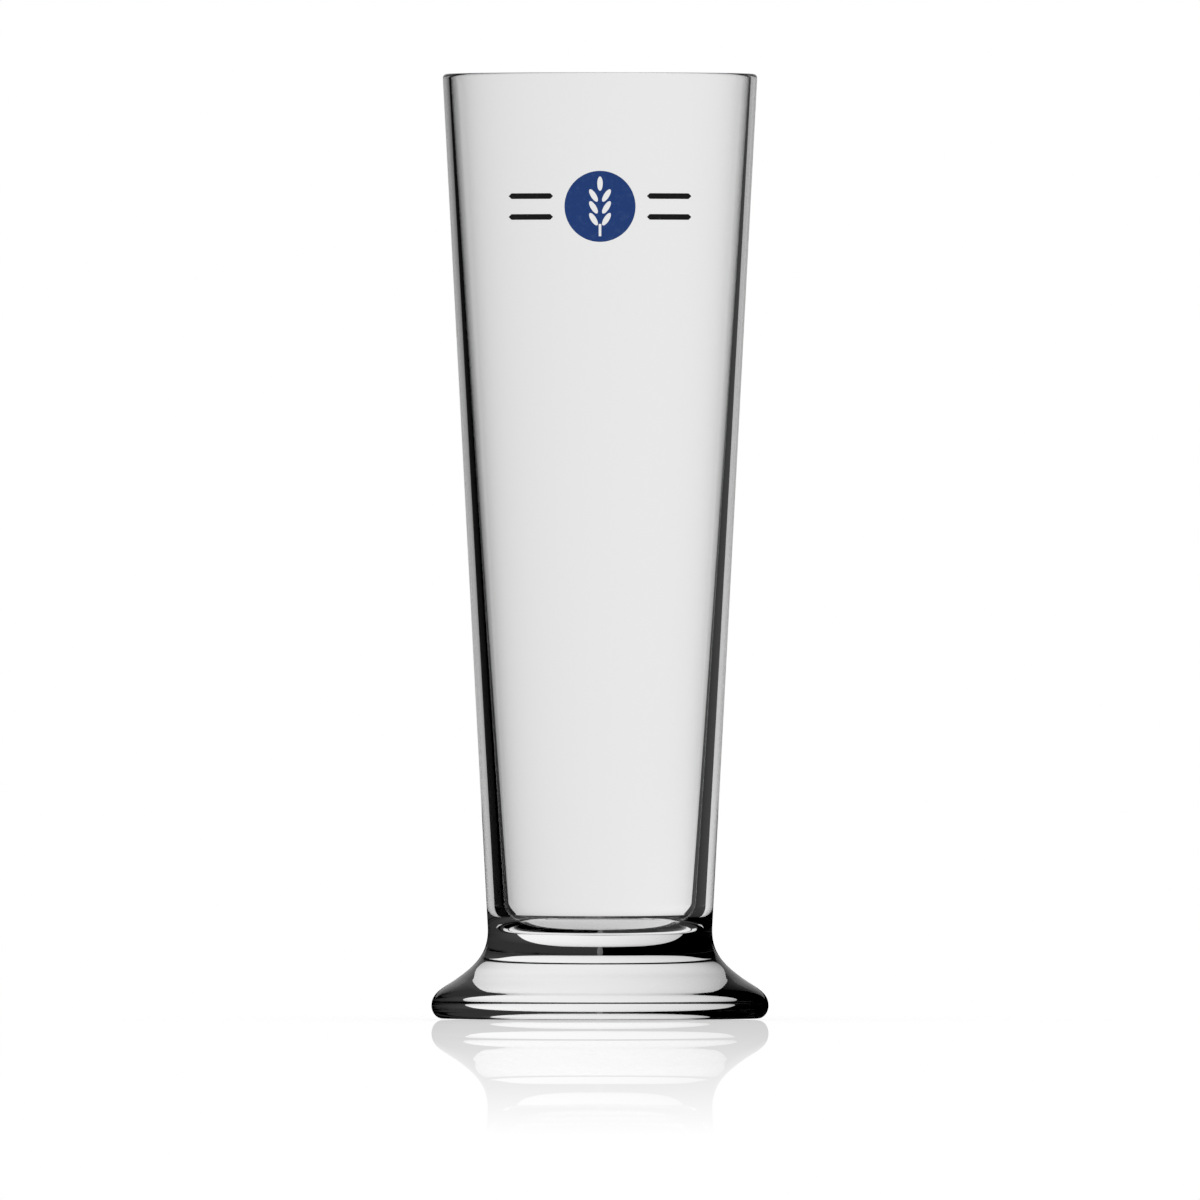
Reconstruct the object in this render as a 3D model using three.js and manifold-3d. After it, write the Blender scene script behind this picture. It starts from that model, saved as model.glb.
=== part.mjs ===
// A stange: a tall, slim beer glass whose straight wall widens to the lip, on a flared solid foot.
// The bowl and the foot are two gathers of clear glass, fused face to face below the waist, and a
// small fired enamel ornament is printed on the front of the wall.
// Millimetres, +Z up. The origin is the middle of the flat underside, and the ornament faces -Y.

import * as THREE from "three";
import { mergeVertices } from "three/addons/utils/BufferGeometryUtils.js";
import Module from "manifold-3d";

// Overall form. Diameters are taken over the outside.
const HEIGHT = 200;
const RIM_DIAMETER = 66.6;
const WAIST_DIAMETER = 47.6;
const FOOT_DIAMETER = 71.4;

// Bowl. The wall grows thicker from the lip down to the waist.
const LIP_WALL = 1.7;
const WAIST_WALL = 3.75;
const FLOOR_THICKNESS = 3.4; // glass between the fused joint and the edge of the inside floor
const FLOOR_DISH = 0.7; // how far the middle of the floor lies below its edge
const HEEL_HEIGHT = 6.7; // thick inside corner between the floor and the wall
const HEEL_WIDTH = 5.45;

// Foot. Its top face is the fused joint, and its flank is an S from the waist to the rounded edge.
const FOOT_HEIGHT = 14.3;
const WAIST_RISE = 5.2; // from the joint up to the narrowest place
const SHOULDER_HEIGHT = 8.5; // where the flank changes from hollow to full
const SHOULDER_DIAMETER = 60.7;
const SHOULDER_SLOPE = THREE.MathUtils.degToRad(55); // from upright
const WAIST_PULL = 5.5; // how far each end of the S holds its direction
const NECK_PULL = 5.1;
const FLANK_PULL = 2.8;
const EDGE_PULL = 2.9;
const EDGE_WIDTH = 2.3; // rounded edge, from the flat underside out to the widest place
const EDGE_HEIGHT = 2.8;

// Enamel ornament: a roundel with an ear of barley left clear in it, between two pairs of rules.
const ORNAMENT_DROP = 28.3; // from the lip down to the middle of the roundel
const ENAMEL_THICKNESS = 0.12;
const ENAMEL_CLEARANCE = 0.05; // between the back of the enamel and the wall
const ROUNDEL_DIAMETER = 15;
const RULE_LENGTH = 9.4;
const RULE_WIDTH = 1.2;
const RULE_SPACING = 4.4; // between the middles of the two rules of a pair
const RULE_GAP = 2.4; // from the roundel's edge to the rules
const GRAIN_LENGTH = 3;
const GRAIN_WIDTH = 1.15;
const GRAIN_PITCH = 2.5; // height from one pair of grains to the next
const GRAIN_PAIRS = 3;
const GRAIN_LEAN = THREE.MathUtils.degToRad(32);
const STALK_WIDTH = 0.55;
const STALK_LENGTH = 2.6;
const EAR_CLEARANCE = 1.2; // from the ends of the ear to the roundel's edge

// Fineness of the faceted surfaces.
const SIDES = 72;
const ARC_STEPS = 7;

const rimRadius = RIM_DIAMETER / 2;
const waistRadius = WAIST_DIAMETER / 2;
const footRadius = FOOT_DIAMETER / 2;
const lipRadius = LIP_WALL / 2;
const waistHeight = FOOT_HEIGHT + WAIST_RISE;
const floorHeight = FOOT_HEIGHT + FLOOR_THICKNESS;
const ornamentHeight = HEIGHT - ORNAMENT_DROP;

// Points of the section, which runs from the axis (x = 0) outwards and from the table (y = 0) up.
const point = (x, y) => new THREE.Vector2(x, y);
const lip = point(rimRadius - lipRadius, HEIGHT - lipRadius);
const waist = point(waistRadius, waistHeight);
const waistInside = point(waistRadius - WAIST_WALL, waistHeight);
const shoulder = point(SHOULDER_DIAMETER / 2, SHOULDER_HEIGHT);
const edge = point(footRadius, EDGE_HEIGHT);

// Angle at which a straight side of the wall faces, counted from the outward direction. The side
// runs from a point up to the round of the lip; turn is 1 for the outside and -1 for the inside.
function facing(from, turn) {
  const down = from.clone().sub(lip);
  const angle = down.angle() + turn * Math.acos(lipRadius / down.length());
  return THREE.MathUtils.euclideanModulo(angle + Math.PI / 2, 2 * Math.PI) - Math.PI / 2;
}

const outerFacing = facing(waist, 1);
const innerFacing = facing(waistInside, -1);

function direction(angle) {
  return point(Math.cos(angle), Math.sin(angle));
}

// Smooth curve between two points that leaves and reaches them along the given pulls.
function curve(from, leaving, reaching, to) {
  const controls = [from, from.clone().add(leaving), to.clone().sub(reaching), to];
  return new THREE.CubicBezierCurve(...controls);
}

const downFlank = direction(SHOULDER_SLOPE - Math.PI / 2);
const upWall = direction(outerFacing + Math.PI / 2);
const flank = curve(edge, point(0, EDGE_PULL), downFlank.clone().multiplyScalar(-FLANK_PULL), shoulder);
const neck = curve(
  shoulder,
  downFlank.clone().multiplyScalar(-NECK_PULL),
  upWall.clone().multiplyScalar(WAIST_PULL),
  waist,
);

// The parts of a rising curve below and above a height.
function parted({ v0, v1, v2, v3 }, height) {
  const at = (t) => {
    const [a, b, c] = [v0.clone().lerp(v1, t), v1.clone().lerp(v2, t), v2.clone().lerp(v3, t)];
    const [ab, bc] = [a.clone().lerp(b, t), b.clone().lerp(c, t)];
    return { a, ab, middle: ab.clone().lerp(bc, t), bc, c };
  };
  let [low, high] = [0, 1];
  while (high - low > 1e-12) {
    const half = (low + high) / 2;
    [low, high] = at(half).middle.y < height ? [half, high] : [low, half];
  }
  const { a, ab, middle, bc, c } = at(low);
  middle.y = height;
  return [new THREE.CubicBezierCurve(v0, a, ab, middle), new THREE.CubicBezierCurve(middle, bc, c, v3)];
}

const [neckBelow, neckAbove] = parted(neck, FOOT_HEIGHT);

// Adds a curve to a section path, joined to what came before by a straight line.
function follow(path, { v0, v1, v2, v3 }) {
  path.lineTo(v0.x, v0.y);
  path.bezierCurveTo(v1.x, v1.y, v2.x, v2.y, v3.x, v3.y);
}

// Turns a section about the vertical axis. Points closer than a thousandth are taken as one.
function revolve(points) {
  const apart = (p, i) => i === 0 || p.distanceTo(points[i - 1]) > 1e-3;
  const geometry = new THREE.LatheGeometry(points.filter(apart), SIDES);
  return geometry.rotateX(Math.PI / 2);
}

// Inside corner of the bowl, close to a quarter of an ellipse that leans with the wall.
function heel() {
  const quarter = 4 / 3 * (Math.SQRT2 - 1);
  const downWall = direction(innerFacing + Math.PI / 2);
  const rise = floorHeight + HEEL_HEIGHT - waistInside.y;
  const top = waistInside.clone().addScaledVector(downWall, rise / downWall.y);
  const bottom = point(top.x - HEEL_WIDTH, floorHeight);
  const leaving = downWall.multiplyScalar(HEEL_HEIGHT * quarter);
  return curve(top, leaving, point(-HEEL_WIDTH * quarter, 0), bottom);
}

function bowlSection() {
  const path = new THREE.Path();
  path.moveTo(0, FOOT_HEIGHT);
  follow(path, neckAbove);
  path.absarc(lip.x, lip.y, lipRadius, outerFacing, innerFacing);
  const corner = heel();
  follow(path, corner);
  const floorRadius = corner.v3.x;
  const dishRadius = (floorRadius ** 2 + FLOOR_DISH ** 2) / (2 * FLOOR_DISH);
  const slope = Math.asin(floorRadius / dishRadius);
  const dishCentre = floorHeight - FLOOR_DISH + dishRadius;
  path.absarc(0, dishCentre, dishRadius, slope - Math.PI / 2, -Math.PI / 2, true);
  return path.getPoints(ARC_STEPS);
}

function footSection() {
  const path = new THREE.Path();
  path.moveTo(0, 0);
  path.lineTo(footRadius - EDGE_WIDTH, 0);
  path.absellipse(footRadius - EDGE_WIDTH, EDGE_HEIGHT, EDGE_WIDTH, EDGE_HEIGHT, -Math.PI / 2, 0);
  follow(path, flank);
  follow(path, neckBelow);
  path.lineTo(0, FOOT_HEIGHT);
  return path.getPoints(ARC_STEPS);
}

const wasm = await Module();
wasm.setup();

function solidOf(geometry) {
  const bare = geometry.clone();
  bare.deleteAttribute("normal");
  bare.deleteAttribute("uv");
  const merged = mergeVertices(bare, 1e-5);
  return new wasm.Manifold(new wasm.Mesh({
    numProp: 3,
    vertProperties: Float32Array.from(merged.attributes.position.array),
    triVerts: Uint32Array.from(merged.index.array),
  }));
}

function geometryOf(solid) {
  const { vertProperties, triVerts } = solid.getMesh();
  const geometry = new THREE.BufferGeometry();
  geometry.setAttribute("position", new THREE.BufferAttribute(vertProperties, 3));
  geometry.setIndex(new THREE.BufferAttribute(triVerts, 1));
  geometry.computeVertexNormals();
  return geometry;
}

// Sleeve of enamel that follows the outside of the wall, as tall as the ornament.
function enamelSleeve() {
  const out = direction(outerFacing);
  const along = (height, lift) => {
    const up = (height - waist.y) / upWall.y;
    return waist.clone().addScaledVector(upWall, up).addScaledVector(out, lift);
  };
  const low = ornamentHeight - ROUNDEL_DIAMETER;
  const high = ornamentHeight + ROUNDEL_DIAMETER;
  const back = ENAMEL_CLEARANCE;
  const front = ENAMEL_CLEARANCE + ENAMEL_THICKNESS;
  const section = [along(low, back), along(low, front), along(high, front), along(high, back)];
  return revolve([...section, section[0]]);
}

const sleeve = solidOf(enamelSleeve());

// Flat outline carried straight through the front of the glass, at the ornament's height.
function prismOf(outline) {
  const prism = new THREE.ExtrudeGeometry(outline, {
    depth: footRadius + rimRadius,
    bevelEnabled: false,
    curveSegments: 2 * ARC_STEPS,
  });
  return solidOf(prism.rotateX(Math.PI / 2).translate(0, 0, ornamentHeight));
}

// The part of the enamel sleeve that an outline covers, seen from the front, less what is left clear.
function printed(outline, clear = []) {
  let enamel = sleeve.intersect(prismOf(outline));
  for (const hole of clear) {
    enamel = enamel.subtract(prismOf(hole));
  }
  return geometryOf(enamel);
}

const roundelRadius = ROUNDEL_DIAMETER / 2;

function disc() {
  return new THREE.Shape().absarc(0, 0, roundelRadius, 0, 2 * Math.PI);
}

// Outlines of a barley ear: one grain on top, leaning pairs of grains below it, and a stalk.
function barleyEar() {
  const grain = (x, y, lean) =>
    new THREE.Shape().absellipse(x, y, GRAIN_WIDTH / 2, GRAIN_LENGTH / 2, 0, 2 * Math.PI, false, lean);
  const tip = roundelRadius - EAR_CLEARANCE;
  const top = tip - GRAIN_LENGTH / 2;
  const aside = (GRAIN_LENGTH * Math.sin(GRAIN_LEAN) + GRAIN_WIDTH) / 2;
  const outlines = [grain(0, top, 0)];
  for (let pair = 1; pair <= GRAIN_PAIRS; pair++) {
    outlines.push(grain(aside, top - pair * GRAIN_PITCH, -GRAIN_LEAN));
    outlines.push(grain(-aside, top - pair * GRAIN_PITCH, GRAIN_LEAN));
  }
  const stalk = new THREE.Shape();
  stalk.moveTo(-STALK_WIDTH / 2, -tip);
  stalk.lineTo(STALK_WIDTH / 2, -tip);
  stalk.lineTo(STALK_WIDTH / 2, STALK_LENGTH - tip);
  stalk.lineTo(-STALK_WIDTH / 2, STALK_LENGTH - tip);
  outlines.push(stalk);
  return outlines;
}

// Straight bar with pointed ends, in the middle of one quarter round the roundel.
function rule(side, level) {
  const near = side * (roundelRadius + RULE_GAP);
  const far = near + side * RULE_LENGTH;
  const middle = level * RULE_SPACING / 2;
  const point = side * RULE_WIDTH / 2;
  const bar = new THREE.Shape();
  bar.moveTo(near, middle);
  bar.lineTo(near + point, middle - RULE_WIDTH / 2);
  bar.lineTo(far - point, middle - RULE_WIDTH / 2);
  bar.lineTo(far, middle);
  bar.lineTo(far - point, middle + RULE_WIDTH / 2);
  bar.lineTo(near + point, middle + RULE_WIDTH / 2);
  return bar;
}

const part = new THREE.Group();

function add(name, geometry, look) {
  const mesh = new THREE.Mesh(geometry, new THREE.MeshStandardMaterial(look));
  mesh.name = name;
  part.add(mesh);
}

const glass = { color: 0xe6ebea, roughness: 0.03, metalness: 0, transparent: true, opacity: 0.35 };
const blueEnamel = { color: 0x1e3c76, roughness: 0.25, metalness: 0 };
const blackEnamel = { color: 0x1a1a1a, roughness: 0.25, metalness: 0 };

add("bowl", revolve(bowlSection()), glass);
add("foot", revolve(footSection()), glass);
add("enamel_roundel", printed(disc(), barleyEar()), blueEnamel);
for (const [sideName, side] of [["left", -1], ["right", 1]]) {
  for (const [levelName, level] of [["upper", 1], ["lower", -1]]) {
    add(`enamel_rule_${levelName}_${sideName}`, printed(rule(side, level)), blackEnamel);
  }
}

export default part;
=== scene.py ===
# %% [markdown]
# # A stange glass
# This lesson builds a tall, slim beer glass in Blender from numpy arrays: a turned body of clear
# glass, a small fired enamel ornament, and a photographer's bright-field set to show them in.
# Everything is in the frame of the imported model: metres, +Z up, the underside on z = 0, and the
# ornament facing -Y. Sizes of the glass itself are written in millimetres.

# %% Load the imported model
import math

import bpy
import mathutils
import numpy as np
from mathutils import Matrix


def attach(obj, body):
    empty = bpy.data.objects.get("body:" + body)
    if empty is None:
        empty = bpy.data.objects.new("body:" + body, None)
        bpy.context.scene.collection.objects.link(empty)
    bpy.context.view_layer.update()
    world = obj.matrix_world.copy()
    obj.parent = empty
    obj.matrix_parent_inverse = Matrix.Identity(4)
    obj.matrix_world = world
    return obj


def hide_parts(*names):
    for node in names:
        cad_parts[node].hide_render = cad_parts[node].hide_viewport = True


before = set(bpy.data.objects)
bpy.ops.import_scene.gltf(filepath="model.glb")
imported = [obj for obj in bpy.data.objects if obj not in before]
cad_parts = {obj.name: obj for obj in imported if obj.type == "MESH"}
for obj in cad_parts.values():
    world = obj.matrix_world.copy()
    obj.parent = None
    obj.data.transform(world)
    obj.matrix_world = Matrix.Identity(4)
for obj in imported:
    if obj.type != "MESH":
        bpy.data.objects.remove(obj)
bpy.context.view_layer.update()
scene = bpy.context.scene
MM = 0.001
print("nodes:", sorted(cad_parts))

# %% [markdown]
# ## Camera
# The lip is seen a little from below and the foot a little from above, so the camera stands at half
# the height of the glass. It stands far away, because the lip is drawn almost as a straight line. The
# lens could be guessed and the picture cropped. Here it follows from the width of the frame at the
# axis of the glass.

# %% Camera
FRAME_WIDTH = 254.1 * MM
camera_place = mathutils.Vector((0, -10, 0.094))
camera_aim = mathutils.Vector((0, 0, 0.0886))

camera = bpy.data.objects.new("camera", bpy.data.cameras.new("camera"))
scene.collection.objects.link(camera)
camera.location = camera_place
camera.rotation_euler = (camera_aim - camera_place).to_track_quat("-Z", "Y").to_euler()
camera.data.sensor_width = 36
camera.data.lens = 36 * (camera_aim - camera_place).length / FRAME_WIDTH
camera.data.clip_end = 50
scene.camera = camera
print("lens:", round(camera.data.lens, 1), "mm")

# %% [markdown]
# ## The section of the glass
# A blown and pressed glass is a body of revolution, so its whole shape is one line, the half
# section. It runs from the middle of the underside round the foot, up the outside, over the lip and
# down the inside to the middle of the floor. Three kinds of stretch are enough: straight ones, parts
# of an ellipse, and cubic curves for the S of the foot and the thick inside heel. Each stretch
# returns its points together with its direction, because glass shows every error in a normal.

# %% Stretches of a section
def straight(start, end, steps):
    """Points start + t (end - start), with t crowded towards both ends, and the constant direction."""
    start, end = np.array(start, float), np.array(end, float)
    t = (1 - np.cos(np.linspace(0, np.pi, steps))) / 2
    points = start + np.outer(t, end - start)
    return np.hstack([points, np.broadcast_to(end - start, points.shape)])


def elliptic(centre, radii, first, last, steps):
    """Points centre + (a cos t, b sin t) for t from first to last, and their derivative in t."""
    t = np.linspace(first, last, steps)
    a, b = radii
    points = np.stack([centre[0] + a * np.cos(t), centre[1] + b * np.sin(t)], 1)
    along = np.sign(last - first) * np.stack([-a * np.sin(t), b * np.cos(t)], 1)
    return np.hstack([points, along])


def cubic(start, leaving, reaching, end, steps):
    """Cubic curve that leaves start along one vector and reaches end along another, with its derivative."""
    p = np.array([start, np.add(start, leaving), np.subtract(end, reaching), end], float)
    t = np.linspace(0, 1, steps)[:, None]
    s = 1 - t
    points = s**3 * p[0] + 3 * s * s * t * p[1] + 3 * s * t * t * p[2] + t**3 * p[3]
    along = s * s * (p[1] - p[0]) + 2 * s * t * (p[2] - p[1]) + t * t * (p[3] - p[2])
    return np.hstack([points, along])


# %% [markdown]
# The sizes are those of the solids, in millimetres. The wall is almost four millimetres thick at the
# waist and less than half of that at the lip, and both of its sides are straight lines that touch the
# round of the lip.

# %% Half section
HEIGHT, RIM_RADIUS, WAIST_RADIUS, FOOT_RADIUS = 200, 33.3, 23.8, 35.7
LIP_RADIUS, WAIST_WALL = 0.85, 3.75
FLOOR_HEIGHT, FLOOR_DISH, HEEL_HEIGHT, HEEL_WIDTH = 17.7, 0.7, 6.7, 5.45
WAIST_HEIGHT, SHOULDER, SHOULDER_SLOPE = 19.5, (30.35, 8.5), math.radians(55)
WAIST_PULL, NECK_PULL, FLANK_PULL, EDGE_PULL = 5.5, 5.1, 2.8, 2.9
EDGE_WIDTH, EDGE_HEIGHT = 2.3, 2.8
QUARTER = 4 / 3 * (math.sqrt(2) - 1)  # pull of a cubic curve that runs like a quarter of an ellipse

lip_centre = np.array([RIM_RADIUS - LIP_RADIUS, HEIGHT - LIP_RADIUS])


def touch(foot_point, turn):
    """Angle at which a straight side from foot_point touches the round of the lip."""
    down = np.subtract(foot_point, lip_centre)
    return math.atan2(down[1], down[0]) + turn * math.acos(LIP_RADIUS / np.hypot(*down))


def unit(angle):
    """Direction (cosine, sine) of an angle."""
    return np.array([math.cos(angle), math.sin(angle)])


waist = np.array([WAIST_RADIUS, WAIST_HEIGHT])
waist_inside = waist - [WAIST_WALL, 0]
outer_facing = touch(waist, 1)
inner_facing = touch(waist_inside, -1) + 2 * math.pi
up_wall = unit(outer_facing + math.pi / 2)
down_inside = unit(inner_facing + math.pi / 2)
down_flank = unit(SHOULDER_SLOPE - math.pi / 2)


def half_section():
    """The stretches joined end to end, each row holding radius, height and the direction there."""
    edge = (FOOT_RADIUS, EDGE_HEIGHT)
    edge_centre = (FOOT_RADIUS - EDGE_WIDTH, EDGE_HEIGHT)
    heel_rise = FLOOR_HEIGHT + HEEL_HEIGHT - WAIST_HEIGHT
    heel_top = waist_inside + down_inside * heel_rise / down_inside[1]
    floor_edge = np.array([heel_top[0] - HEEL_WIDTH, FLOOR_HEIGHT])
    dish = (floor_edge[0] ** 2 + FLOOR_DISH**2) / (2 * FLOOR_DISH)
    dish_slope = math.asin(floor_edge[0] / dish)
    dish_centre = (0, FLOOR_HEIGHT - FLOOR_DISH + dish)
    stretches = [
        straight((0, 0), (edge_centre[0], 0), 9),
        elliptic(edge_centre, (EDGE_WIDTH, EDGE_HEIGHT), -math.pi / 2, 0, 34),
        cubic(edge, (0, EDGE_PULL), -FLANK_PULL * down_flank, SHOULDER, 30),
        cubic(SHOULDER, -NECK_PULL * down_flank, WAIST_PULL * up_wall, waist, 44),
        straight(waist, lip_centre + LIP_RADIUS * unit(outer_facing), 12),
        elliptic(lip_centre, (LIP_RADIUS, LIP_RADIUS), outer_facing, inner_facing, 30),
        straight(lip_centre + LIP_RADIUS * unit(inner_facing), heel_top, 12),
        cubic(heel_top, QUARTER * HEEL_HEIGHT * down_inside, (-QUARTER * HEEL_WIDTH, 0), floor_edge, 40),
        elliptic(dish_centre, (dish, dish), dish_slope - math.pi / 2, -math.pi / 2, 16),
    ]
    return np.vstack([stretches[0]] + [stretch[1:] for stretch in stretches[1:]])


section = half_section()
print("section:", len(section), "points, lip at", section[:, 1].max().round(3), "mm")

# %% [markdown]
# ## Turning the section
# Blender's Screw modifier could turn the line, but working the surface out as one array keeps its
# normals exact. The surface is a function of two parameters, the place on the section and the angle
# round the axis. The two ends of the section lie on the axis, and each becomes one pole vertex.

# %% Mesh from arrays
def mesh_object(name, vertices, *faces, normals=None):
    """Puts whole arrays of vertices and of triangles or quads into a new smooth mesh."""
    mesh = bpy.data.meshes.new(name)
    mesh.vertices.add(len(vertices))
    mesh.vertices.foreach_set("co", np.ascontiguousarray(vertices, np.float32).ravel())
    corners = np.concatenate([f.ravel() for f in faces])
    sizes = np.concatenate([np.full(len(f), f.shape[1]) for f in faces])
    mesh.loops.add(len(corners))
    mesh.loops.foreach_set("vertex_index", corners.astype(np.int32))
    mesh.polygons.add(len(sizes))
    mesh.polygons.foreach_set("loop_start", (np.cumsum(sizes) - sizes).astype(np.int32))
    mesh.polygons.foreach_set("use_smooth", np.ones(len(sizes), bool))
    mesh.update(calc_edges=True)
    mesh.validate()
    if normals is not None:
        mesh.normals_split_custom_set_from_vertices(normals)
    piece = bpy.data.objects.new(name, mesh)
    scene.collection.objects.link(piece)
    print(name + ":", len(vertices), "vertices,", int((sizes - 2).sum()), "triangles")
    return piece


def turned(name, section, sides):
    """Surface (r sin a, -r cos a, z) for each section point (r, z) and angle a; the normal is the
    section's direction turned a quarter clockwise, carried round by the same angle."""
    angle = np.linspace(0, 2 * np.pi, sides, endpoint=False)
    sine, cosine = np.sin(angle), np.cos(angle)
    ring = section[1:-1]
    r, z, dr, dz = (ring[:, k, None] for k in range(4))
    size = np.hypot(dr, dz)
    level = np.ones_like(angle)
    vertices = np.stack([r * sine, -r * cosine, z * level], 2).reshape(-1, 3)
    normals = np.stack([dz / size * sine, -dz / size * cosine, -dr / size * level], 2).reshape(-1, 3)
    rows, turn = len(ring), np.arange(sides)
    after = (turn + 1) % sides
    start = np.arange(rows - 1)[:, None] * sides
    quads = np.stack([start + turn, start + after, start + sides + after, start + sides + turn], 2)
    low, high, last = rows * sides, rows * sides + 1, (rows - 1) * sides
    bottom = np.stack([np.full(sides, low), after, turn], 1)
    top = np.stack([np.full(sides, high), last + turn, last + after], 1)
    poles = [[0, 0, section[0, 1]], [0, 0, section[-1, 1]]]
    vertices = np.vstack([vertices, poles]) * MM
    normals = np.vstack([normals, [[0, 0, -1], [0, 0, 1]]])
    return mesh_object(name, vertices, quads.reshape(-1, 4), bottom, top, normals=normals)


# %% Glass body
GLASS_SIDES = 384

glass = turned("clear_glass_body", section, GLASS_SIDES)
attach(glass, "root")
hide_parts("bowl", "foot")

# %% [markdown]
# ## The enamel ornament
# The ornament is printed through a screen and fired, so it is a thin skin that follows the wall. Its
# outlines are drawn flat, as on the screen, and carried straight back onto the front of the glass. A
# roundel with an ear of barley left clear stands between two pairs of short rules.

# %% Flat outlines
ORNAMENT_HEIGHT = HEIGHT - 28.3
ENAMEL_BACK, ENAMEL_FRONT = 0.05, 0.17
ROUNDEL_RADIUS, RULE_GAP, RULE_LENGTH, RULE_WIDTH, RULE_SPACING = 7.5, 2.4, 9.4, 1.2, 4.4
GRAIN_LENGTH, GRAIN_WIDTH, GRAIN_PITCH, GRAIN_PAIRS = 3, 1.15, 2.5, 3
GRAIN_LEAN, STALK_WIDTH, STALK_LENGTH, EAR_CLEARANCE = math.radians(32), 0.55, 2.6, 1.2


def ellipse(centre, radii, lean=0.0, steps=96):
    """Closed outline of an ellipse, leaning anticlockwise."""
    t = np.linspace(0, 2 * np.pi, steps, endpoint=False)
    x, y = radii[0] * np.cos(t), radii[1] * np.sin(t)
    c, s = math.cos(lean), math.sin(lean)
    return np.stack([centre[0] + c * x - s * y, centre[1] + s * x + c * y], 1)


def polygon(corners, steps=24):
    """Closed outline through corners, each side cut into steps."""
    corners = np.array(corners, float)
    t = np.linspace(0, 1, steps, endpoint=False)[None, :, None]
    following = np.roll(corners, -1, 0)
    return (corners[:, None] + t * (following - corners)[:, None]).reshape(-1, 2)


def barley_ear():
    """One grain on top, leaning pairs below it, and a stalk, all left clear in the roundel."""
    tip = ROUNDEL_RADIUS - EAR_CLEARANCE
    top = tip - GRAIN_LENGTH / 2
    aside = (GRAIN_LENGTH * math.sin(GRAIN_LEAN) + GRAIN_WIDTH) / 2
    grain = (GRAIN_WIDTH / 2, GRAIN_LENGTH / 2)
    outlines = [ellipse((0, top), grain)]
    for level in top - GRAIN_PITCH * np.arange(1, GRAIN_PAIRS + 1):
        outlines += [ellipse((side * aside, level), grain, -side * GRAIN_LEAN) for side in (-1, 1)]
    half = STALK_WIDTH / 2
    stalk = [(-half, -tip), (half, -tip), (half, STALK_LENGTH - tip), (-half, STALK_LENGTH - tip)]
    return outlines + [polygon(stalk)]


def rule(side, level):
    """Bar with pointed ends, beside the roundel."""
    near, half = ROUNDEL_RADIUS + RULE_GAP, RULE_WIDTH / 2
    far, middle = near + RULE_LENGTH, level * RULE_SPACING / 2
    x = np.array([near, near + half, far - half, far, far - half, near + half])
    y = middle + half * np.array([0, -1, -1, 0, 1, 1])
    return polygon(np.stack([side * x, y], 1)[::side])


print("ornament", ORNAMENT_HEIGHT, "mm up, with", len(barley_ear()), "openings in the roundel")

# %% [markdown]
# Each outline becomes a closed skin. Blender's own fill tools could do it, but the triangulation from
# mathutils takes the outline, its holes and a grid of inner points in one call and keeps every edge.
# The inner points let the skin bend round the wall, and a second copy behind it closes it.

# %% Printed skins
GRID_SPACING, SHARP_ANGLE = 0.45, math.radians(40)


def inside(points, outline):
    """Which points lie inside a closed outline, by counting the sides crossed to the right."""
    a, b = outline, np.roll(outline, -1, 0)
    x, y = points[:, 0, None], points[:, 1, None]
    level = (a[:, 1] > y) != (b[:, 1] > y)
    rise = np.where(a[:, 1] == b[:, 1], 1, b[:, 1] - a[:, 1])
    crossing = a[:, 0] + (y - a[:, 1]) * (b[:, 0] - a[:, 0]) / rise
    return (level & (x < crossing)).sum(1) % 2 == 1


def filled(outline, holes, spacing=GRID_SPACING):
    """Flat points and triangles between an outline and its holes."""
    low, high = outline.min(0), outline.max(0)
    x, y = np.meshgrid(np.arange(low[0], high[0], spacing), np.arange(low[1], high[1], spacing))
    loops = [outline] + holes
    grid = np.stack([x.ravel(), y.ravel()], 1)
    grid = grid[inside(grid, outline)]
    for loop in loops:
        reach = np.hypot(*(grid[:, None] - loop[None]).transpose(2, 0, 1)).min(1)
        grid = grid[reach > spacing / 2]
    edges, start = [], 0
    for loop in loops:
        run = start + np.arange(len(loop))
        edges += list(zip(run.tolist(), np.roll(run, -1).tolist()))
        start += len(loop)
    flat = [mathutils.Vector(p) for p in np.vstack(loops + [grid]).tolist()]
    found = mathutils.geometry.delaunay_2d_cdt(flat, edges, [], 1, 1e-7)
    points = np.array([tuple(p) for p in found[0]])
    triangles = np.array(found[2])
    middle = points[triangles].mean(1)
    keep = inside(middle, outline)
    for hole in holes:
        keep &= ~inside(middle, hole)
    used, triangles = np.unique(triangles[keep], return_inverse=True)
    points, triangles = points[used], triangles.reshape(-1, 3)
    a, b, c = points[triangles].transpose(1, 0, 2)
    clockwise = np.cross(b - a, c - a) < 0
    triangles[clockwise] = triangles[clockwise][:, ::-1]
    return points, triangles


def on_wall(points, lift):
    """Point (x, y) of the flat drawing carried straight back to the front of the wall, lifted off it."""
    height = ORNAMENT_HEIGHT + points[:, 1]
    out = unit(outer_facing)
    along = (height - lift * out[1] - waist[1]) / up_wall[1]
    radius = waist[0] + along * up_wall[0] + lift * out[0]
    return np.stack([points[:, 0], -np.sqrt(radius**2 - points[:, 0] ** 2), height], 1) * MM


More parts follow.
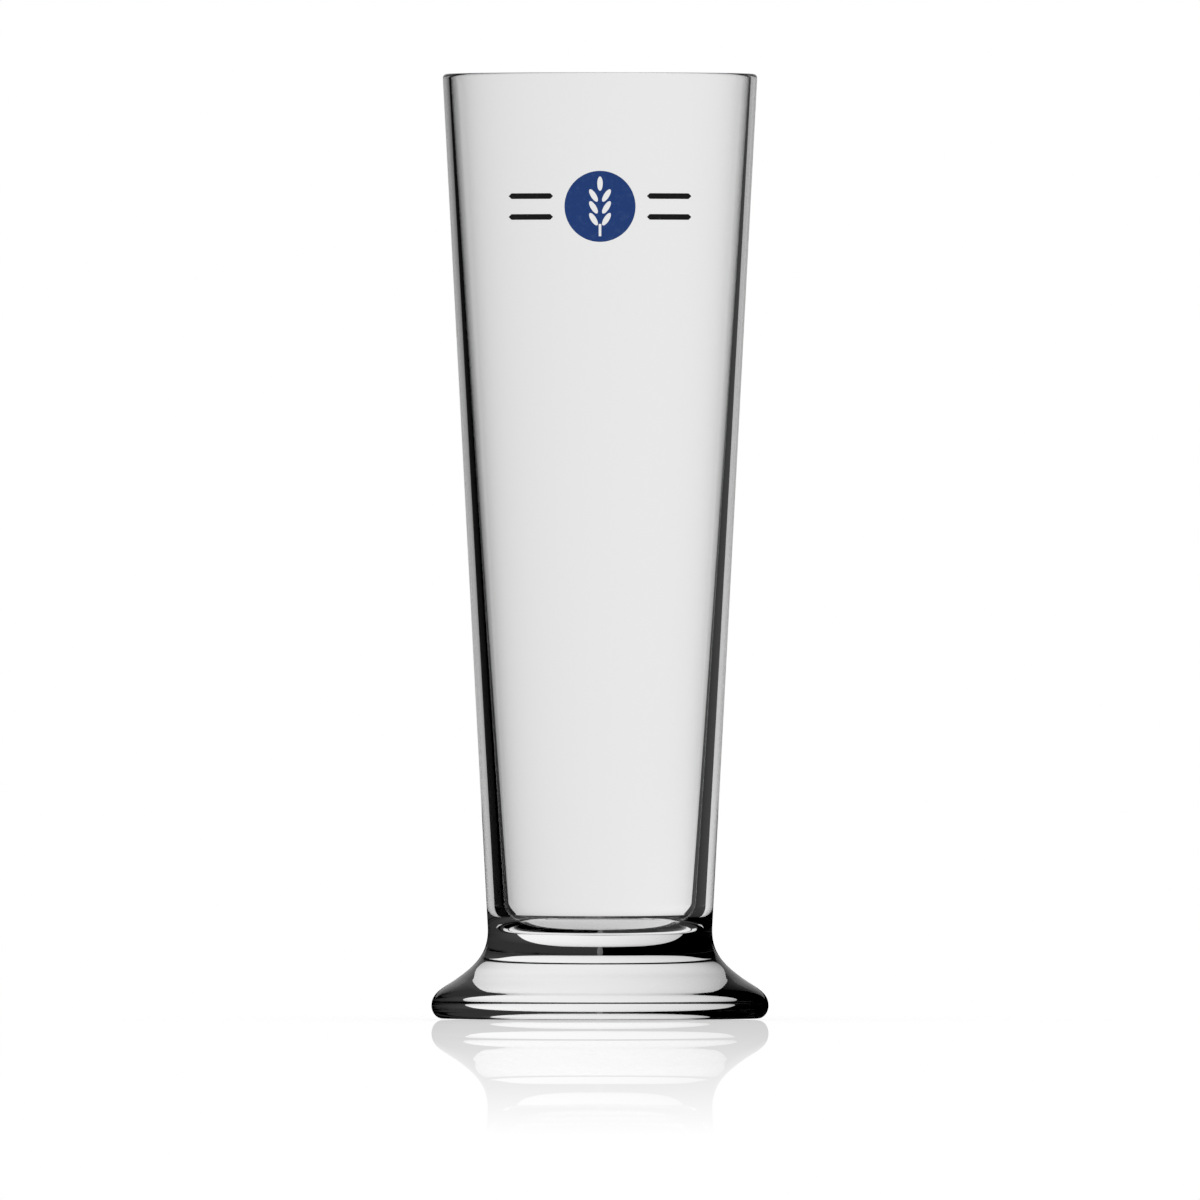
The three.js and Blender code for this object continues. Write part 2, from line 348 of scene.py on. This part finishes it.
def printed(name, outline, holes=()):
    """Front skin, back skin turned round, and a band of quads along every open edge."""
    points, triangles = filled(outline, list(holes))
    count = len(points)
    sides = np.vstack([triangles[:, [0, 1]], triangles[:, [1, 2]], triangles[:, [2, 0]]])
    key = np.sort(sides, 1) @ np.array([count, 1])
    _, where, times = np.unique(key, return_index=True, return_counts=True)
    open_sides = sides[where[times == 1]]
    first, second = open_sides.T
    band = np.stack([second, first, first + count, second + count], 1)
    vertices = np.vstack([on_wall(points, ENAMEL_FRONT), on_wall(points, ENAMEL_BACK)])
    piece = mesh_object(name, vertices, np.vstack([triangles, triangles[:, ::-1] + count]), band)
    piece.data.set_sharp_from_angle(angle=SHARP_ANGLE)
    return piece


round_edge = ellipse((0, 0), (ROUNDEL_RADIUS, ROUNDEL_RADIUS), steps=160)
roundel = printed("blue_roundel", round_edge, barley_ear())
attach(roundel, "root")
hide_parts("enamel_roundel")

rules = []
for side_name, side in (("left", -1), ("right", 1)):
    for level_name, level in (("upper", 1), ("lower", -1)):
        bar = printed(f"black_rule_{level_name}_{side_name}", rule(side, level))
        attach(bar, "root")
        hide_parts(f"enamel_rule_{level_name}_{side_name}")
        rules.append(bar)

# %% [markdown]
# ## Finishes
# Clear glass and fired enamel are both smooth, but neither is perfect: a washed glass has faint wipe
# marks and its wall is a touch uneven from the mould. One node group makes both effects from object
# coordinates, and each material takes from it as much as it needs.

# %% Surface marks, shared by all finishes
MARK_EDGES, WAVER_STRETCH = (0.45, 0.8), (1, 1, 0.25)


def surface_marks():
    """Node group: Marks is a soft cloudy mask from 0 to 1, Waver a slow height for a bump."""
    group = bpy.data.node_groups.new("surface_marks", "ShaderNodeTree")
    for way, names in (("INPUT", ("Mark Scale", "Waver Scale")), ("OUTPUT", ("Marks", "Waver"))):
        for name in names:
            group.interface.new_socket(name, in_out=way, socket_type="NodeSocketFloat")
    nodes, link = group.nodes, group.links.new
    values, out = nodes.new("NodeGroupInput"), nodes.new("NodeGroupOutput")
    place = nodes.new("ShaderNodeTexCoord")
    stretch = nodes.new("ShaderNodeMapping")
    stretch.inputs["Scale"].default_value = WAVER_STRETCH
    link(place.outputs["Object"], stretch.inputs["Vector"])
    cloud, slow = nodes.new("ShaderNodeTexNoise"), nodes.new("ShaderNodeTexNoise")
    cloud.inputs["Detail"].default_value = 4
    slow.inputs["Detail"].default_value = 1
    link(values.outputs["Mark Scale"], cloud.inputs["Scale"])
    link(values.outputs["Waver Scale"], slow.inputs["Scale"])
    link(place.outputs["Object"], cloud.inputs["Vector"])
    link(stretch.outputs["Vector"], slow.inputs["Vector"])
    soft = nodes.new("ShaderNodeMapRange")
    soft.interpolation_type = "SMOOTHSTEP"
    soft.inputs["From Min"].default_value, soft.inputs["From Max"].default_value = MARK_EDGES
    link(cloud.outputs["Fac"], soft.inputs["Value"])
    link(soft.outputs["Result"], out.inputs["Marks"])
    link(slow.outputs["Fac"], out.inputs["Waver"])
    return group


marks_group = surface_marks()
print("surface marks:", len(marks_group.nodes), "nodes")


def finish(name, mark_scale, waver_scale, roughness, bump):
    """Material with a Principled shader whose roughness runs between two values over the marks."""
    material = bpy.data.materials.new(name)
    material.use_nodes = True
    nodes, link = material.node_tree.nodes, material.node_tree.links.new
    shader = nodes["Principled BSDF"]
    marks = nodes.new("ShaderNodeGroup")
    marks.node_tree = marks_group
    marks.inputs["Mark Scale"].default_value = mark_scale
    marks.inputs["Waver Scale"].default_value = waver_scale
    spread = nodes.new("ShaderNodeMapRange")
    spread.inputs["To Min"].default_value, spread.inputs["To Max"].default_value = roughness
    link(marks.outputs["Marks"], spread.inputs["Value"])
    link(spread.outputs["Result"], shader.inputs["Roughness"])
    uneven = nodes.new("ShaderNodeBump")
    uneven.inputs["Strength"].default_value = 1
    uneven.inputs["Distance"].default_value = bump
    link(marks.outputs["Waver"], uneven.inputs["Height"])
    link(uneven.outputs["Normal"], shader.inputs["Normal"])
    return material, shader, marks


# %% [markdown]
# The bright and dark bands in the foot are the surroundings, bent by the glass. Their spacing asks for
# a lower index than that of window glass, and for hardly any colour of its own.

# %% Clear glass
GLASS_INDEX = 1.288

clear_glass, shader, _ = finish(
    "clear_glass", mark_scale=60, waver_scale=30, roughness=(0.0, 0.012), bump=0.01 * MM)
shader.inputs["Base Color"].default_value = (1, 1, 1, 1)
shader.inputs["Metallic"].default_value = 0
shader.inputs["Transmission Weight"].default_value = 1
shader.inputs["IOR"].default_value = GLASS_INDEX
glass.data.materials.append(clear_glass)
print("clear_glass with an index of", GLASS_INDEX)

# %% [markdown]
# Fired enamel is ground glass with colour in it. It lies as a smooth, slightly cloudy skin, a little
# thinner and paler in places where the screen laid down less of it.

# %% Fired enamel
ENAMEL_INDEX = 1.5


def enamel(name, deep, thin, pieces):
    """Enamel whose colour runs from deep to thin over the marks, under a thin gloss."""
    material, shader, marks = finish(
        name, mark_scale=900, waver_scale=1500, roughness=(0.22, 0.34), bump=0.008 * MM)
    nodes, link = material.node_tree.nodes, material.node_tree.links.new
    colour = nodes.new("ShaderNodeMix")
    colour.data_type = "RGBA"
    colour.inputs["A"].default_value, colour.inputs["B"].default_value = deep, thin
    link(marks.outputs["Marks"], colour.inputs["Factor"])
    link(colour.outputs["Result"], shader.inputs["Base Color"])
    shader.inputs["IOR"].default_value = ENAMEL_INDEX
    for piece in pieces:
        piece.data.materials.append(material)
    print(name, "on", len(pieces), "pieces")


enamel("blue_enamel", (0.0130, 0.0452, 0.181, 1), (0.018, 0.056, 0.205, 1), [roundel])
enamel("black_enamel", (0.0100, 0.0100, 0.0100, 1), (0.014, 0.014, 0.0145, 1), rules)

# %% [markdown]
# ## The set
# Clear glass has no colour of its own, so it can only show what stands around it. Photographers use a
# bright field: a lit sheet behind the glass, and everything else dark. Where the glass bends the dark
# into view it gets dark lines, and these draw its shape. In a studio this takes cards and flags. Here
# the shaders ask what a ray has been through instead, so that the eye sees a plain white room while
# the glass sees the sheet and the dark. These helpers keep the shader graphs short.

# %% Shader helpers
def stage_shader(name):
    """New material that holds only an output, with its tree and that output."""
    material = bpy.data.materials.new(name)
    material.use_nodes = True
    tree = material.node_tree
    tree.nodes.clear()
    return material, tree, tree.nodes.new("ShaderNodeOutputMaterial")


def arithmetic(tree):
    """Function that adds a Math node over numbers or sockets and gives its output."""
    def work(operation, *values):
        node = tree.nodes.new("ShaderNodeMath")
        node.operation = operation
        for socket, value in zip(node.inputs, values):
            if isinstance(value, (int, float)):
                socket.default_value = value
            else:
                tree.links.new(value, socket)
        return node.outputs["Value"]
    return work


def ramp(tree, value, low, high, first, last):
    """Runs from first to last while the value runs from low to high, and stays there beyond."""
    node = tree.nodes.new("ShaderNodeMapRange")
    for name, number in zip(("From Min", "From Max", "To Min", "To Max"), (low, high, first, last)):
        node.inputs[name].default_value = number
    tree.links.new(value, node.inputs["Value"])
    return node.outputs["Result"]


def blend(tree, share, first, second):
    """One shader turning into another as the share runs from 0 to 1."""
    mix = tree.nodes.new("ShaderNodeMixShader")
    for source, socket in zip((share, first.outputs[0], second.outputs[0]), mix.inputs):
        tree.links.new(source, socket)
    return mix


# %% [markdown]
# The sheet hangs on an arm that turns with the camera, as on a turntable, so the glass can be looked
# at from any side. A Track To constraint does the turning. The sheet is narrow at the bottom and widens
# upwards, less steeply above a knee. The wall looks at its upper part. The foot bends light steeply and
# looks at the lower part as well, so the ends of the light bands in the foot follow its outline.

# %% Lit sheet
PIVOT_HEIGHT, SHEET_DISTANCE = 0.1, 0.265
SHEET_LOW, SHEET_KNEE, SHEET_HIGH = -0.15, 0.03, 0.5
KNEE_WIDTH, LOW_SPREAD, HIGH_SPREAD = 0.119, 0.40, 0.27


def sheet(name, distance, heights, half_widths):
    """Upright sheet behind the pivot, square to the camera, from its half widths at some heights."""
    pivot = mathutils.Vector((0, 0, PIVOT_HEIGHT))
    right = np.stack([half_widths, np.array(heights) - pivot.z, np.full(len(heights), -distance)], 1)
    vertices = np.vstack([right, right[::-1] * [-1, 1, 1]])
    card = mesh_object(name, vertices, np.arange(len(vertices))[None])
    card.location = pivot
    turn = card.constraints.new("TRACK_TO")
    turn.target, turn.track_axis, turn.up_axis = camera, "TRACK_Z", "UP_Y"
    card.visible_camera = card.visible_diffuse = card.visible_shadow = False
    card.visible_volume_scatter = False
    return card


sheet_heights = np.array([SHEET_LOW, SHEET_KNEE, SHEET_HIGH])
over_knee = sheet_heights - SHEET_KNEE
sheet_widths = KNEE_WIDTH + np.minimum(LOW_SPREAD * over_knee, HIGH_SPREAD * over_knee)
lit_sheet = sheet("lit_sheet", SHEET_DISTANCE, sheet_heights, sheet_widths)
print("half widths of the sheet:", sheet_widths.round(3), "m")

# %% [markdown]
# The glow is that of a sheet with one lamp behind it. It is a little stronger on one side and falls off
# towards both edges, a square function of the place across. In the part that only the foot looks at it
# leans more and falls off less, and it fades towards the bottom.

# %% Glow of the sheet
GLOW, LEAN, LOW_LEAN, FALL, LOW_FALL, BOTTOM_FALL = 0.85, 1.15, 0.85, 22.0, 12.0, 0.2
FOOT_VIEW = (0.05, -0.01)  # heights between which the wall's part of the sheet becomes the foot's

material, tree, output = stage_shader("lit_sheet")
lit_sheet.data.materials.append(material)
work = arithmetic(tree)
place = tree.nodes.new("ShaderNodeSeparateXYZ")
tree.links.new(tree.nodes.new("ShaderNodeTexCoord").outputs["Object"], place.inputs[0])
across = place.outputs["X"]
height = work("ADD", place.outputs["Y"], PIVOT_HEIGHT)
low = ramp(tree, height, *FOOT_VIEW, 0.0, 1.0)
below = work("MAXIMUM", work("DIVIDE", height, SHEET_LOW), 0.0)
lean = work("MULTIPLY", across, work("ADD", LEAN, work("MULTIPLY", low, LOW_LEAN)))
fall = work("SUBTRACT", FALL, work("MULTIPLY", low, LOW_FALL))
fall = work("MULTIPLY", work("POWER", across, 2.0), fall)
level = work("SUBTRACT", work("ADD", GLOW, lean), fall)
level = work("SUBTRACT", level, work("MULTIPLY", work("POWER", below, 2.0), BOTTOM_FALL))
print("glow in the middle of the sheet:", GLOW)

# %% [markdown]
# Some light is mirrored to and fro inside the glass before it gets out, and lays a grey veil over the
# dark lines. A flag beside the glass would catch much of it in a studio. Here the sheet is turned down
# for such rays. One kind leaves the glass on the side of the sheet, after more than two mirrorings or
# more than two faces. The other kind runs along inside the wall, mirrored many times, and leaves late.

# %% Stray light
STRAY_REACH, STRAY_LOSS = 0.264, 0.85
STRAY_VIEW = (-0.05, -0.01)  # heights over which often mirrored rays begin to count as stray

path = tree.nodes.new("ShaderNodeLightPath").outputs
near = work("LESS_THAN", path["Ray Length"], STRAY_REACH)
mirrored = work("GREATER_THAN", path["Glossy Depth"], 0.5)
often = work("GREATER_THAN", path["Glossy Depth"], 2.5)
through = work("GREATER_THAN", path["Transmission Depth"], 2.5)
guided = work("MULTIPLY", often, work("SUBTRACT", 1.0, work("MAXIMUM", near, through)))
often = work("MULTIPLY", often, ramp(tree, height, *STRAY_VIEW, 0.0, 1.0))
stray = work("MULTIPLY", work("MULTIPLY", mirrored, near), work("MAXIMUM", often, through))
stray = work("MAXIMUM", stray, guided)
level = work("MULTIPLY", level, work("SUBTRACT", 1.0, work("MULTIPLY", stray, STRAY_LOSS)))
print("glow left for stray rays:", round(1 - STRAY_LOSS, 2))

# %% [markdown]
# The glass also mirrors the sheet on its outside. The wall gets a pale line along its edge and the
# flank of the foot a soft sheen. The length of the ray tells the two apart, and each gets a share of the
# sheet's glow. Rays that come from farther off, such as those from the table, don't meet the sheet at
# all, so it is shown only where one of these cases holds.

# %% Sheen on the outside
WALL_REACH, FLANK_REACH = 0.31, 0.45
WALL_VIEW, FLANK_VIEW = 0.04, 0.05
WALL_SHARE = (0.04, 0.12, 0.72, 0.44)  # distances from the middle of the sheet, and the shares there
FLANK_SHARE = (0.05, 0.17, 0.5, 0.2)  # heights on the sheet, and the shares there
WALL_LEAN, FLANK_LEAN = 1.8, 3.0

bent = path["Is Transmission Ray"]
short = work("LESS_THAN", path["Ray Length"], WALL_REACH)
off_wall = work("MULTIPLY", short, work("GREATER_THAN", height, WALL_VIEW))
off_flank = work("LESS_THAN", path["Ray Length"], FLANK_REACH)
off_flank = work("MULTIPLY", off_flank, work("GREATER_THAN", height, FLANK_VIEW))
off_flank = work("MULTIPLY", off_flank, work("SUBTRACT", 1.0, short))
wall_share = ramp(tree, work("ABSOLUTE", across), *WALL_SHARE)
wall_share = work("MULTIPLY", wall_share, work("SUBTRACT", 1.0, work("MULTIPLY", across, WALL_LEAN)))
flank_share = ramp(tree, height, *FLANK_SHARE)
flank_share = work("MULTIPLY", flank_share, work("SUBTRACT", 1.0, work("MULTIPLY", across, FLANK_LEAN)))
share = work("ADD", work("MULTIPLY", off_wall, wall_share), work("MULTIPLY", off_flank, flank_share))
level = work("MULTIPLY", level, work("MAXIMUM", bent, share))
seen = work("MAXIMUM", bent, work("MAXIMUM", off_wall, off_flank))

clear, glow = tree.nodes.new("ShaderNodeBsdfTransparent"), tree.nodes.new("ShaderNodeEmission")
tree.links.new(level, glow.inputs["Strength"])
tree.links.new(blend(tree, seen, clear, glow).outputs[0], output.inputs["Surface"])
print("shader of the sheet:", len(tree.nodes), "nodes")

# %% [markdown]
# ## The table
# The table top mirrors the white room behind the glass as well as the glass. A second sheet, far behind
# and plain white, stands for that room. It is left out of the light that goes through the glass.

# %% Far sheet
FAR_DISTANCE, FAR_HEIGHTS, FAR_WIDTH = 2.2, [-0.02, 0.33], 0.2

far_sheet = sheet("far_sheet", FAR_DISTANCE, FAR_HEIGHTS, [FAR_WIDTH, FAR_WIDTH])
far_sheet.visible_transmission = False
material, tree, output = stage_shader("far_sheet")
glow = tree.nodes.new("ShaderNodeEmission")
tree.links.new(glow.outputs[0], output.inputs["Surface"])
far_sheet.data.materials.append(material)

# %% [markdown]
# The table top is a white disc with a light polish. It glows to match the white room and takes the soft
# shadow of the glass close by. At a flat angle it mirrors the glass, and the mirror image grows weaker
# with the distance from it, as on a sheet of satin acrylic. The disc lies a hair below the glass, so
# that the two faces don't meet.

# %% Table top
TABLE_RADIUS, TABLE_SIDES, TABLE_DROP = 3.0, 128, 0.2 * MM
POLISH, POLISH_REACH, POLISH_BEND, FLAT_ANGLES = 0.37, 2.07, 1.15, (0.8, 0.94)
SHADOW = (0.04, 0.12, 0.25, 0.0)  # distances from the axis, and the matt shares there

turn = np.arange(TABLE_SIDES)
angle = 2 * np.pi * turn / TABLE_SIDES
rim = np.stack([TABLE_RADIUS * np.cos(angle), TABLE_RADIUS * np.sin(angle), 0 * angle], 1)
fan = np.stack([np.full(TABLE_SIDES, TABLE_SIDES), turn, (turn + 1) % TABLE_SIDES], 1)
floor = mesh_object("floor", np.vstack([rim, [[0, 0, 0]]]), fan)
floor.visible_transmission = floor.visible_glossy = False
floor.location.z = -TABLE_DROP

material, tree, output = stage_shader("white_table")
floor.data.materials.append(material)
work = arithmetic(tree)
away = tree.nodes.new("ShaderNodeVectorMath")
away.operation = "LENGTH"
tree.links.new(tree.nodes.new("ShaderNodeNewGeometry").outputs["Position"], away.inputs[0])
away = away.outputs["Value"]
fading = work("SUBTRACT", 1.0, work("POWER", work("DIVIDE", away, POLISH_REACH), POLISH_BEND))
facing = tree.nodes.new("ShaderNodeLayerWeight")
facing.inputs["Blend"].default_value = 0.5
grazing = ramp(tree, facing.outputs["Facing"], *FLAT_ANGLES, 0.0, 1.0)
polish = work("MULTIPLY", work("MULTIPLY", work("MAXIMUM", fading, 0.0), grazing), POLISH)

white = tree.nodes.new("ShaderNodeEmission")
matt = tree.nodes.new("ShaderNodeBsdfDiffuse")
mirror = tree.nodes.new("ShaderNodeBsdfGlossy")
matt.inputs["Color"].default_value = mirror.inputs["Color"].default_value = (1, 1, 1, 1)
mirror.inputs["Roughness"].default_value = 0
shadowed = blend(tree, ramp(tree, away, *SHADOW), white, matt)
tree.links.new(blend(tree, polish, shadowed, mirror).outputs[0], output.inputs["Surface"])
print("mirror image at the foot:", POLISH, "of full strength, gone at", POLISH_REACH, "m")

# %% [markdown]
# ## The room
# The world is white to the eye, and it lights the enamel and the table evenly. For light that the glass
# has bent it is a dark room: black on one side, nearly black on the other, with a slightly lighter slit
# low down between them. What the glass mirrors on its outside is black. Light that has already met
# a matt surface sees a lit room again, so that the enamel has its colour through the glass too.

# %% Room
ROOM_GREY, SIDE_GREY = 0.031, (0.25, 0.7, 0.068, 0.034)  # SIDE_GREY: directions across, and greys there
SIDE_HEIGHTS, DIVIDE = (-0.5, -0.1), 0.004
SLIT_WIDTH, SLIT_HEIGHT, SLIT_GREY, ROOM_LIGHT = 0.015, -0.3, 0.12, 0.8

world = bpy.data.worlds.new("room")
scene.world = world
world.use_nodes = True
tree = world.node_tree
work = arithmetic(tree)
room = tree.nodes["Background"]
room.inputs["Color"].default_value = (1, 1, 1, 1)
path = tree.nodes.new("ShaderNodeLightPath").outputs
way = tree.nodes.new("ShaderNodeSeparateXYZ")
tree.links.new(tree.nodes.new("ShaderNodeTexCoord").outputs["Generated"], way.inputs[0])
across, up = way.outputs["X"], way.outputs["Z"]
from_glass = work("MAXIMUM", path["Is Transmission Ray"], path["Is Glossy Ray"])
beside = work("SUBTRACT", ramp(tree, across, *SIDE_GREY), ROOM_GREY)
beside = work("MULTIPLY", ramp(tree, up, *SIDE_HEIGHTS, 0.0, 1.0), beside)
dark = work("MULTIPLY", work("ADD", ROOM_GREY, beside), ramp(tree, across, -DIVIDE, DIVIDE, 0.0, 1.0))
slit = work("LESS_THAN", work("ABSOLUTE", across), SLIT_WIDTH)
slit = work("MULTIPLY", slit, work("LESS_THAN", up, SLIT_HEIGHT))
dark = work("ADD", dark, work("MULTIPLY", slit, SLIT_GREY))
dark = work("MULTIPLY", path["Is Transmission Ray"], dark)
lighting = work("GREATER_THAN", path["Diffuse Depth"], 0.5)
dark = work("MAXIMUM", dark, work("MULTIPLY", lighting, ROOM_LIGHT))
strength = work("ADD", work("SUBTRACT", 1.0, from_glass), work("MULTIPLY", from_glass, dark))
tree.links.new(strength, room.inputs["Strength"])
print("shader of the room:", len(tree.nodes), "nodes")

# %% [markdown]
# ## Last
# The picture is shown as it is, without a film look.

# %% Look of the picture
scene.view_settings.view_transform = "Standard"
